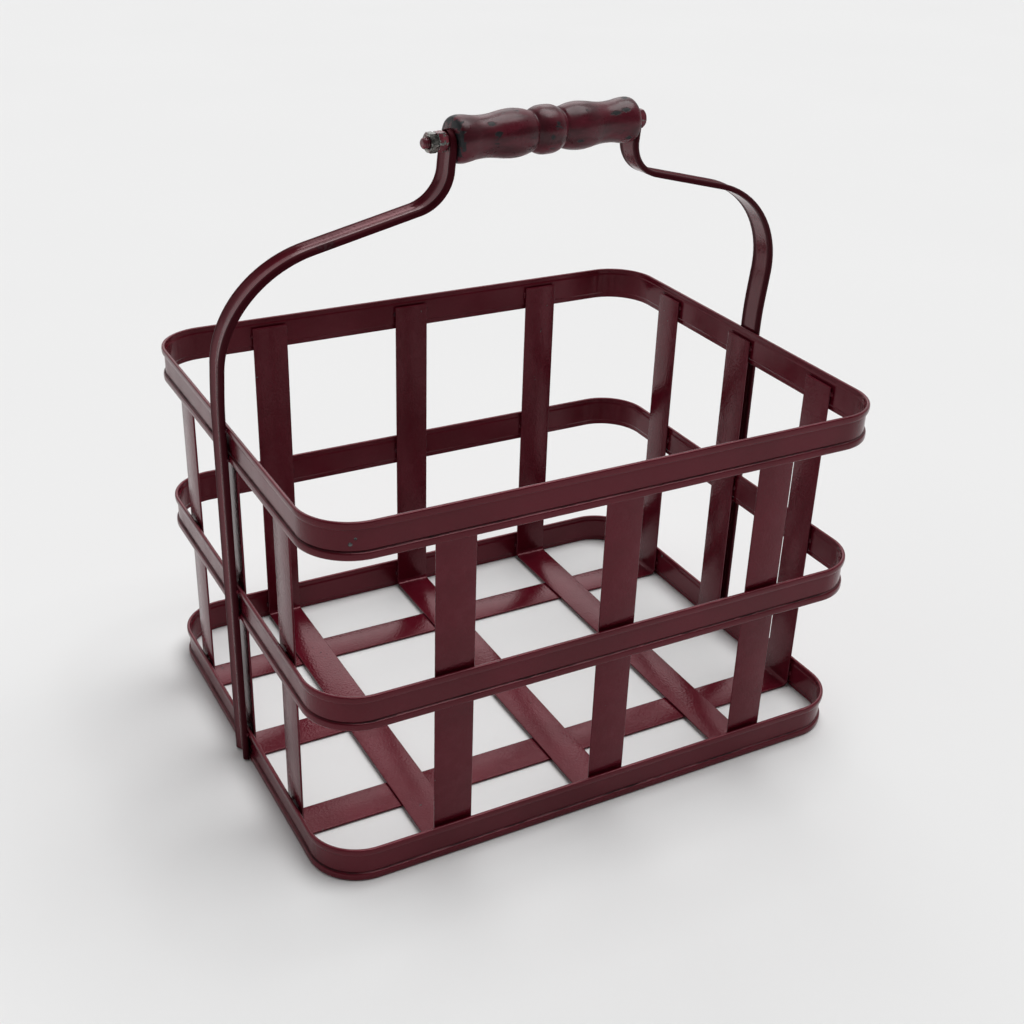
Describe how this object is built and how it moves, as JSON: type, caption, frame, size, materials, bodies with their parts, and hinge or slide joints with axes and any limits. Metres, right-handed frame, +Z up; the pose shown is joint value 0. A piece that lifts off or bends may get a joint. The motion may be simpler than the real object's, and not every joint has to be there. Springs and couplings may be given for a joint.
{
  "type": "egg collection basket",
  "caption": "Open rectangular egg basket of rolled steel hoops on a cage of flat straps, with a bent strip bail and a turned wooden grip that spins on its bolt.",
  "frame": {"origin": "centre of the footprint, on the ground under the bottom hoop", "axes": "+Z up, +X along the long side of the basket and the grip towards the bolt head, +Y to the back, away from the side the bail leans to"},
  "size_m": [0.3062, 0.24, 0.3262],
  "materials": {
    "hoop_paint": "gloss burgundy paint over rolled steel strip",
    "strap_paint": "gloss burgundy paint with orange peel",
    "arm_paint": "gloss burgundy paint with small chips",
    "grip_paint": "turned wood, burgundy paint rubbed to a dark undercoat",
    "bolt_paint": "steel painted over with the basket",
    "nut_paint": "steel painted over with the basket, chipped at the corners",
    "bare_steel": "unpainted, dulled zinc"
  },
  "bodies": {
    "frame": {"top_hoop": "hoop_paint", "middle_hoop": "hoop_paint", "bottom_hoop": "hoop_paint", "cross_strap_left": "strap_paint", "cross_strap_centre": "strap_paint", "cross_strap_right": "strap_paint", "long_strap_front": "strap_paint", "long_strap_middle": "strap_paint", "long_strap_rear": "strap_paint", "left_arm": "arm_paint", "right_arm": "arm_paint", "handle_bolt": "bolt_paint", "hex_nut": "nut_paint", "lock_nut": "bare_steel"},
    "grip": {"grip": "grip_paint"}
  },
  "joints": [
    {"name": "grip_spin", "type": "hinge", "parent": "frame", "child": "grip", "pos_m": [0.0041, -0.0211, 0.315], "axis": [0.997, 0.0772, 0], "continuous": true}
  ]
}
